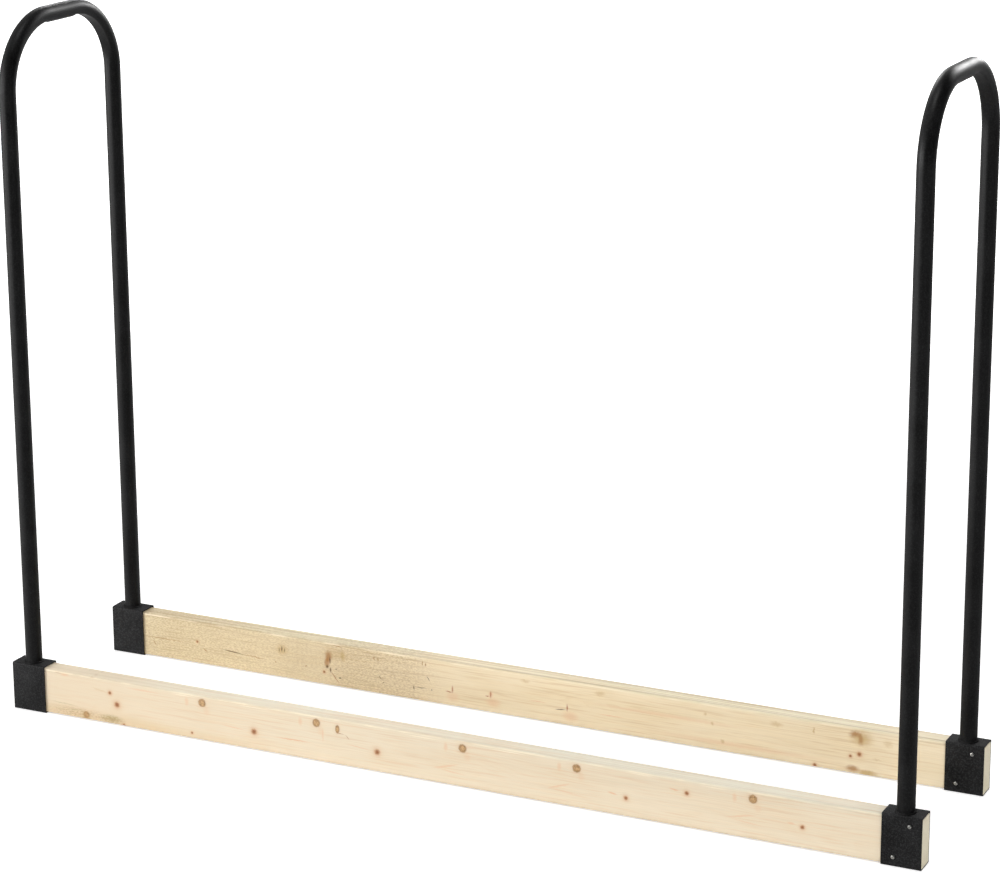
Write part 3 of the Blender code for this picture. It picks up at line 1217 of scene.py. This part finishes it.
@dataclass
class WeldBead(Part):
    """The rippled fillet bead that joins a leg's foot to its sleeve."""

    source = "front_right_weld"
    slot = "weld_coat"

    dice: random.Random
    thickness: float = 0.0023
    sides: int = 20
    sink: float = 0.0001
    ripples: int = 38
    rings: int = 4
    ripple_height: float = 0.00028

    def build(self) -> Piece:
        """Lays the bead as a ring and swells it in even steps.

        Returns:
            The bead's pattern.
        """
        leg_low, leg_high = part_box(Hoop.source)
        centre = middle(self.source)
        centre.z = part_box(self.source)[0].z + self.sink
        bpy.ops.mesh.primitive_torus_add(
            major_radius=(leg_high.x - leg_low.x) / 2, minor_radius=self.thickness,
            major_segments=self.rings * self.ripples, minor_segments=self.sides, location=centre,
        )
        bead = begin("bead_pattern")
        step = math.tau / self.ripples

        def crest(spot: Vector, way: Vector) -> bool:
            """True on the rings that a ripple swells most."""
            turned = math.atan2(spot.y - centre.y, spot.x - centre.x) / step
            return abs(turned - round(turned)) < 0.5 / self.rings

        pick(bead, Element.VERT, crest)
        bpy.ops.transform.shrink_fatten(value=self.ripple_height)
        return leave(bead)

    def spots(self) -> Iterator[tuple[str, float, float]]:
        """Yields the bead of each corner, turned its own way."""
        return ((node, self.dice.uniform(0, math.tau), 0.0) for node, _ in corners("weld"))


@dataclass
class PanScrew(Part):
    """A pan-head screw with a cross recess."""

    source = "front_right_screw_upper"
    slot = "screw_zinc"

    dice: random.Random
    sides: int = 48
    head_radius: float = 0.0036
    head_height: float = 0.0024
    dome_share: float = 0.62
    dome_steps: int = 7
    shank_radius: float = 0.00175
    point_length: float = 0.005
    point_share: float = 0.02
    recess: Place = (0.0040, 0.0009, 0.0024)
    recess_taper: Place = (0.4, 0.6, 1.0)

    def build(self) -> Piece:
        """Turns the screw along Z, strikes its recess, and sets it in its hole.

        Returns:
            The screw's pattern.
        """
        low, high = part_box(self.source)
        length = high.y - low.y - self.head_height
        bpy.ops.mesh.primitive_cylinder_add(
            vertices=self.sides, radius=self.head_radius, depth=self.head_height,
            location=(0, 0, self.head_height / 2),
        )
        screw = begin("screw_pattern")
        top = self.head_height - NEAR
        pick(screw, Element.EDGE, lambda centre, way: centre.z > top)
        round_edges(self.head_height * self.dome_share, self.dome_steps)
        pick(screw, Element.FACE, lambda centre, way: way.z < -STRAIGHT)
        bpy.ops.mesh.inset(thickness=self.head_radius - self.shank_radius)
        extrude((0, 0, self.point_length - length))
        extrude((0, 0, -self.point_length))
        bpy.ops.transform.resize(value=(self.point_share, self.point_share, 1.0))
        leave(screw)
        for turn in (0.0, math.pi / 2):
            carve(screw, self._punch(turn))
        seat = Vector(((low.x + high.x) / 2, low.y + self.head_height, (low.z + high.z) / 2))
        screw.matrix_world = Matrix.Translation(seat) @ Matrix.Rotation(math.pi / 2, 4, "X")
        settle(screw)
        return screw

    def spots(self) -> Iterator[tuple[str, float, float]]:
        """Yields the two screws of each corner, each twisted its own way."""
        for node, end in corners("screw"):
            for row in Row:
                yield f"{node}_{row.label}", end.value, self.dice.uniform(0, math.pi / 2)

    def _punch(self, turn: float) -> Piece:
        """Makes one tapered wing of the cross recess.

        Args:
            turn: How far it is turned about the screw.

        Returns:
            The wing.
        """
        bpy.ops.mesh.primitive_cube_add(size=1.0, location=(0, 0, self.head_height))
        bpy.context.object.scale = self.recess
        punch = begin("punch")
        pick(punch, Element.FACE, lambda centre, way: way.z < -STRAIGHT)
        bpy.ops.transform.resize(value=self.recess_taper)
        leave(punch)
        punch.rotation_euler = (0, 0, turn)
        settle(punch)
        return punch


@dataclass
class TimberRail:
    """A planed two-by-four with eased edges, sawn from one wood for each side."""

    woods: dict[Side, Pine]
    effects: WoodEffects
    source: str = "front_rail"
    eased_edge: float = 0.003
    edge_steps: int = 8
    end_edge: float = 0.0003
    end_steps: int = 2
    pilot_radius: float = 0.0021
    pilot_sides: int = 24

    def build(self) -> Piece:
        """Saws the rail, eases its edges and drills its pilot holes.

        Returns:
            The rail's pattern.
        """
        rail = leave(bar("rail_pattern", self.source, self.eased_edge, self.edge_steps))
        break_rims(rail, self.end_edge, self.end_steps)
        screws = [f"front_{end.label}_screw_{row.label}" for end in End for row in Row]
        drill(rail, screws, self.pilot_radius, self.pilot_sides)
        return rail

    def dress(self, pattern: Piece) -> None:
        """Lays the rail front and rear and gives each its own wood.

        Args:
            pattern: The rail's pattern.
        """
        for side, wood in self.woods.items():
            node = f"{side.label}_rail"
            piece = stand(pattern, self.source, node, 0.0, 0.0)
            deliver(piece, node, wood.material(node, self.effects), f"{side.label}_pine")
        discard(pattern)


# Studio


@dataclass(frozen=True)
class Lamp:
    """A square soft lamp: its place, target, side, power, and the surfaces it works on."""

    name: str
    place: Place
    target: Place
    side: float
    power: float
    on_matt: bool = True
    on_gloss: bool = True

    def light(self) -> None:
        """Adds the lamp."""
        lamp = bpy.data.lights.new(self.name, "AREA")
        lamp.shape = "SQUARE"
        lamp.size = self.side
        lamp.energy = self.power
        holder = bpy.data.objects.new(self.name, lamp)
        bpy.context.scene.collection.objects.link(holder)
        holder.location = self.place
        way = Vector(self.target) - Vector(self.place)
        holder.rotation_euler = way.to_track_quat("-Z", "Y").to_euler()
        holder.visible_camera = False
        holder.visible_diffuse = self.on_matt
        holder.visible_glossy = self.on_gloss


@dataclass(frozen=True)
class Studio:
    """A white room with soft lamps, and the camera where the photograph was taken."""

    lamps: tuple[Lamp, ...]
    floor_side: float = 40.0
    floor_drop: float = 0.0002
    floor_white: Colour = (0.86, 0.86, 0.86)
    floor_glow: float = 0.52
    floor_fade: tuple[float, float] = (1.6, 4.5)
    room_white: Colour = (1.0, 1.0, 1.0)
    room_light: float = 0.12
    mirror_shares: tuple[float, float] = (0.90, 0.06)
    mirror_fade: tuple[float, float] = (-0.45, -0.10)
    camera_place: Place = (2.3322, -4.7963, 2.1351)
    camera_yaw: float = 0.4464
    camera_pitch: float = 0.2612
    camera_roll: float = -0.0056
    camera_shift: float = -0.059
    focal_pixels: float = 3050.0
    picture_width: float = 1000.0
    sensor: float = 36.0

    def build(self) -> None:
        """Sets up the floor, room, lamps, camera and view."""
        self._floor()
        self._room()
        for lamp in self.lamps:
            lamp.light()
        self._camera()
        bpy.context.scene.view_settings.view_transform = "Standard"

    def _seen(self, sheet: Sheet, way: Socket) -> Socket:
        """Marks the rays that show the background, which is darker on the right when mirrored.

        Args:
            sheet: The sheet to add to.
            way: The direction from the rack.

        Returns:
            1 for straight rays, a share of it for mirrored ones and 0 for the rest.
        """
        rays = sheet.add("ShaderNodeLightPath").outputs
        share = sheet.fade(sheet.split(way)[0], *self.mirror_fade, *self.mirror_shares)
        mirrored = sheet.times(rays["Is Glossy Ray"], share)
        return sheet.math("MAXIMUM", rays["Is Camera Ray"], mirrored)

    def _floor(self) -> None:
        """Lays the pale floor, which keeps the rack's shadow."""
        bpy.ops.object.select_all(action="DESELECT")
        bpy.ops.mesh.primitive_plane_add(size=self.floor_side, location=(0, 0, -self.floor_drop))
        floor = bpy.context.object
        floor.name = floor.data.name = "studio_floor"
        settle(floor)
        material = bpy.data.materials.new("studio_white")
        material.use_nodes = True
        material.node_tree.nodes.clear()
        sheet = Sheet(material.node_tree)
        place = sheet.object_place()
        lift = sheet.fade(sheet.vector("LENGTH", place), *self.floor_fade, self.floor_glow, 1.0)
        seen = self._seen(sheet, sheet.vector("NORMALIZE", place))
        paint = sheet.add("ShaderNodeBsdfDiffuse", {"Color": self.floor_white}).outputs[0]
        glow = sheet.add("ShaderNodeEmission", {"Strength": sheet.times(seen, lift)}).outputs[0]
        both = sheet.add("ShaderNodeAddShader", {0: paint, 1: glow}).outputs[0]
        sheet.add("ShaderNodeOutputMaterial", {0: both})
        floor.data.materials.append(material)
        floor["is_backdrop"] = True

    def _room(self) -> None:
        """Makes the room white to look at and even and softer as a light."""
        world = bpy.data.worlds.new("studio_room")
        world.use_nodes = True
        bpy.context.scene.world = world
        sheet = Sheet(world.node_tree)
        seen = self._seen(sheet, sheet.add("ShaderNodeTexCoord").outputs["Generated"])
        strength = sheet.math("MAXIMUM", seen, self.room_light)
        air = world.node_tree.nodes["Background"]
        sheet.feed(air, {"Color": self.room_white, "Strength": strength})

    def _camera(self) -> None:
        """Stands the camera where the photograph was taken."""
        lens = bpy.data.cameras.new("camera")
        lens.sensor_width = self.sensor
        lens.lens = self.focal_pixels / self.picture_width * self.sensor
        lens.shift_y = self.camera_shift
        camera = bpy.data.objects.new("camera", lens)
        bpy.context.scene.collection.objects.link(camera)
        camera.matrix_world = (
            Matrix.Translation(self.camera_place)
            @ Matrix.Rotation(self.camera_yaw, 4, "Z")
            @ Matrix.Rotation(math.pi / 2 - self.camera_pitch, 4, "X")
            @ Matrix.Rotation(self.camera_roll, 4, "Z")
        )
        bpy.context.scene.camera = camera


# The rack

TUBE_COAT = PowderCoat(
    "hoop_black_coat", (0.0010, 0.0010, 0.0011), (0.0120, 0.0120, 0.0125),
    roughness=0.40, gloss=0.12, peel_scale=620.0, speck_scale=400.0, relief=0.00009, rim=0.15,
)
SLEEVE_COAT = PowderCoat(
    "sleeve_black_coat", (0.0018, 0.0018, 0.0020), (0.030, 0.030, 0.031),
    roughness=0.46, gloss=0.11, peel_scale=560.0, speck_scale=380.0, relief=0.00026, rim=0.45,
)
WELD_COAT = PowderCoat(
    "weld_black_coat", (0.0025, 0.0025, 0.0025), (0.008, 0.008, 0.008),
    roughness=0.46, gloss=0.12, peel_scale=900.0, speck_scale=900.0, relief=0.00005,
)

BIG_KNOTS = (-495, -251, 49, 274, 607)
PEACH = srgb(233, 190, 150)
PAINTED_EDGE_HIGHLIGHT = srgb(252, 238, 212)
# pale colour of the highlight strokes painted along the front rail's eased top edge
OCHRE = srgb(224, 201, 164)
TAN = srgb(206, 176, 122)
BROWN = srgb(176, 126, 78)
RUST = srgb(176, 102, 60)
DARK = srgb(84, 58, 32)

# Each mark stands where the photograph has it, measured from its rail's middle
FRONT_PINE = Pine(
    name="front_pine",
    pale=srgb(238, 223, 197),
    warm=srgb(236, 219, 191),
    late=srgb(228, 196, 158),
    pith=(0.050, -0.022),
    spacing=0.0032,
    wander=0.040,
    late_share=0.22,
    sound_knots=knots(
        *((x, 30, 8.6) for x in BIG_KNOTS), (-207, 25, 4.6, 1.9), (-754, -35.4, 7.2)
    ),
    red_knots=knots(
        (-684, -4.1, 6.8), (-384, -9.1, 6.8), (-125, -6.4, 6.4), (-699, 17.5, 4.2),
        (369, -9.6, 4.6), (484, 19.5, 4.6), (698, -5.8, 4.6), (-519, -33.7, 2.8),
        (-670, -43.5, 4.2),
    ),
    stains=(
        Stain(srgb(226, 207, 178), 0.002, smudges((-950, 0, 620, 600, 0.6))),
        Stain(OCHRE, 0.001, smudges(
            (-800, -38, 120, 22, 0.8), (-660, -38, 150, 24, 0.7), (-500, -44, 220, 22, 0.6),
            (100, -47, 800, 12, 0.35), (-719, 20, 24, 2.4, 0.9, -0.15),
        )),
        Stain(PEACH, 0.0006, smudges(
            *((x - 31, 27.5, 6, 12, 0.48) for x in BIG_KNOTS),
            *((x + 12, 15, 10, 12, 0.25) for x in BIG_KNOTS),
            (-235, 8, 3, 18, 0.4), (-621, 34, 50, 2.4, 0.5), (-298, -11.5, 48, 1.8, 1, 0.02),
            (-425, -8, 36, 1.4, 0.7, -0.06), (-161, -3, 34, 1.4, 0.6, -0.08),
            (346, -5, 13, 2.4, 0.9, -0.18), (463, 22.5, 13, 2.4, 0.9, -0.12),
            (680, -1.7, 10, 2.6, 0.7, -0.1), (18, -10, 34, 3, 0.55, 0.28),
            (243, -9, 30, 3, 0.55, 0.34), (588, -5, 36, 3, 0.55, 0.22),
            (30, -19, 40, 2, 0.45, -0.09), (256, -18.5, 40, 2, 0.45, -0.09),
            (600, -15, 40, 2, 0.45, -0.09), (-798, 39, 14, 5, 0.6),
        )),
        # painted highlight: pale strokes just under the front rail's top edge, where the eased
        # edge catches the light
        Stain(PAINTED_EDGE_HIGHLIGHT, 0.0004, smudges(
            (-535, 38.5, 30, 1.6, 0.8), (-385, 39, 55, 1.6, 0.8), (-30, 38, 50, 1.5, 0.9),
            (145, 38.5, 50, 1.5, 0.9), (400, 39, 40, 1.5, 0.8), (540, 38.5, 36, 1.5, 0.8),
        )),
        Stain(srgb(190, 176, 132), 0.0012, smudges(
            (-694, -35, 34, 11, 0.75), (-752, -38, 14, 12, 0.7), (-775, -29, 22, 1.6, 0.6, 0.05),
            (-800, -20, 40, 1.4, 0.5, -0.05),
        )),
        Stain(BROWN, 0.0010, smudges(
            (-813, 41.5, 13, 2.2, 0.7), (-198, 17, 11, 1, 0.9, -0.05),
            (-184, 12, 6, 1.1, 0.9, -1), (-735, 43, 10, 1.6, 0.5),
        )),
    ),
    rough=smudges((-694, -36, 36, 11, 1), (-770, -36, 100, 18, 0.7)),
    rough_share=0.72,
    top=(0.985, 1.065, 1.13),
    top_lines=0.15,
    ridge_share=0.75,
)
REAR_PINE = Pine(
    name="rear_pine",
    pale=srgb(246, 230, 199),
    warm=srgb(242, 224, 190),
    late=srgb(216, 186, 138),
    pith=(-0.058, 0.006),
    spacing=0.0030,
    wander=0.030,
    late_share=0.25,
    sound_knots=(),
    red_knots=knots(
        (-720, 0.9, 3), (678, -5.6, 5), (661, -11.6, 3.4), (593, -40.5, 4), (-430, -18.5, 3.2)
    ),
    stains=(
        Stain(srgb(224, 207, 168), 0.002, smudges(
            (-950, 0, 920, 600, 0.8), (-300, 0, 160, 400, 0.2)
        )),
        Stain(PEACH, 0.001, smudges(
            (37, -6.6, 24, 1.8, 0.6), (189, -11, 34, 1.8, 0.6), (-145, -26, 20, 14, 0.4),
            (-58, -24, 22, 14, 0.5), (104, -26, 24, 14, 0.5), (-63, -8, 7, 9, 0.5),
            (300, 8, 200, 6, 0.35), (450, -28, 240, 8, 0.35),
        )),
        Stain(TAN, 0.002, smudges(
            (-522, 14, 18, 16, 0.6), (-400, 23, 40, 18, 0.4), (166, 30, 16, 7, 0.5),
            (10, 31, 14, 5, 0.5), (520, 26.5, 18, 7, 0.5), (684, 25, 30, 20, 0.8),
            (394, 7, 5, 5, 0.6), (379, 24, 5, 5, 0.6), (414, -24.5, 6, 6, 0.6),
            (593, 25.5, 3, 9, 0.8), (696, -39.5, 28, 8, 0.85), (-385, 20, 8, 15, 0.5),
            (735, 23, 14, 10, 0.4), (715, -11, 12, 3, 0.4),
        )),
        Stain(BROWN, 0.0012, smudges(
            (-790, -4.3, 60, 1.3, 0.7), (-585, -11.5, 36, 1.3, 0.8, -0.04),
            (-698, -15, 7, 2.4, 0.8, -0.6), (-818, -16, 6, 2.2, 0.8, -1), (-417, 16, 11, 16, 0.9),
            (-421, 1, 9, 15, 0.8), (-315, 27, 1.8, 6, 0.8), (-307, 26, 1.8, 6, 0.8),
            (-210, 33, 1.8, 7, 0.8), (-203, 31, 1.8, 5, 0.8), (-537, -14.6, 2.6, 2.2, 0.9),
            (-468, -12.2, 2.6, 2.2, 0.9), (672, 32, 16, 9.5, 0.8, 0.1), (683, 23, 8, 15, 0.75),
            (668, -35.5, 18, 9.5, 0.8), (-397, 40, 15, 1.4, 0.9, -0.1),
        )),
        Stain(RUST, 0.0006, smudges(
            (-145, -10.5, 2.8, 10, 0.75), (-63, -8.5, 2.8, 10, 0.75), (98, -9.5, 2.8, 10, 0.8),
            (-403, -26.5, 12, 2.2, 0.9, -1.17), (-153, -16.5, 10, 1.8, 0.8, -0.1),
            (-70, -12.5, 6, 1.8, 0.8),
        )),
        Stain(DARK, 0.0006, smudges(
            (-634, -8.5, 32, 2, 1, -0.08), (-522, 15, 2.2, 8.5, 0.9), (-528, 12, 1.8, 6.5, 0.7),
            (-516, 13, 1.8, 6.5, 0.7), (-420, -6.3, 4.5, 5, 1), (-414, 8, 2.8, 10, 0.9),
            (-413, -12, 2.8, 7, 0.9), (-392, -26, 4.4, 2.6, 0.9),
            (-303, -10.7, 4.4, 2, 0.9, -1.3), (-197, 3, 5, 2, 0.9, -1.3),
            (-229, -20.5, 1.8, 6, 0.9), (-213, -18, 15, 1.1, 0.8, 0.05),
            (84, -15, 14, 1.5, 0.9, 0.12), (-295, -20, 2, 2, 0.7), (-400, -9, 2.2, 2.6, 0.7),
            (-190, -19, 2, 2, 0.7),
        )),
    ),
    rough=smudges((-950, 0, 920, 600, 1), (-300, 0, 150, 400, 1)),
    rough_share=0.44,
    top=(0.97, 1.02, 1.02),
    top_lines=0.45,
    ridge_share=0.8,
)

LAMPS = (
    Lamp("key_lamp", (-7.6, -4.4, 1.6), (0.0, 0.0, 0.6), 3.0, 525.0),
    Lamp("fill_lamp", (5.5, -5.0, 2.4), (0.0, 0.0, 0.5), 5.0, 252.0, on_gloss=False),
    Lamp("strip_lamp", (-3.2, -6.2, 1.5), (0.0, 0.0, 0.9), 2.5, 290.0, on_matt=False),
    Lamp("right_crest_lamp", (1.4, 9.0, 3.7), (0.9, 0.0, 1.3), 2.0, 500.0, on_matt=False),
    Lamp("left_crest_lamp", (-4.4, 7.4, 4.4), (-0.9, 0.0, 1.3), 1.6, 150.0, on_matt=False),
    Lamp("top_lamp", (0.0, -1.0, 9.0), (0.0, 0.0, 0.0), 3.0, 262.0),
    Lamp("back_lamp", (1.6, 14.0, 5.2), (0.0, 0.0, 1.0), 4.6, 1200.0),
    Lamp("corner_lamp", (-4.9, 8.2, 4.8), (0.0, 0.0, 1.0), 2.4, 200.0),
)


def main() -> None:
    """Builds the rack's pieces in order, then the studio."""
    logging.basicConfig(level=logging.INFO, format="%(name)s: %(message)s")
    cad_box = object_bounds()
    dice = random.Random(7)
    grain = coat_grain()
    effects = WoodEffects(GrowthRings().group(), KnotMark().group(), smudge_mark())
    parts = (
        Hoop(TUBE_COAT.material(grain)),
        Sleeve(SLEEVE_COAT.material(grain)),
        WeldBead(WELD_COAT.material(grain), dice),
        PanScrew(ZincPlate().material(), dice),
        TimberRail({Side.FRONT: FRONT_PINE, Side.REAR: REAR_PINE}, effects),
    )
    for part in parts:
        part.dress(part.build())
    Studio(LAMPS).build()
    boxes = {"cad": cad_box, "visual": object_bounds()}
    {name: [list(low), list(high)] for name, (low, high) in boxes.items()}


if __name__ == "__main__":
    main()
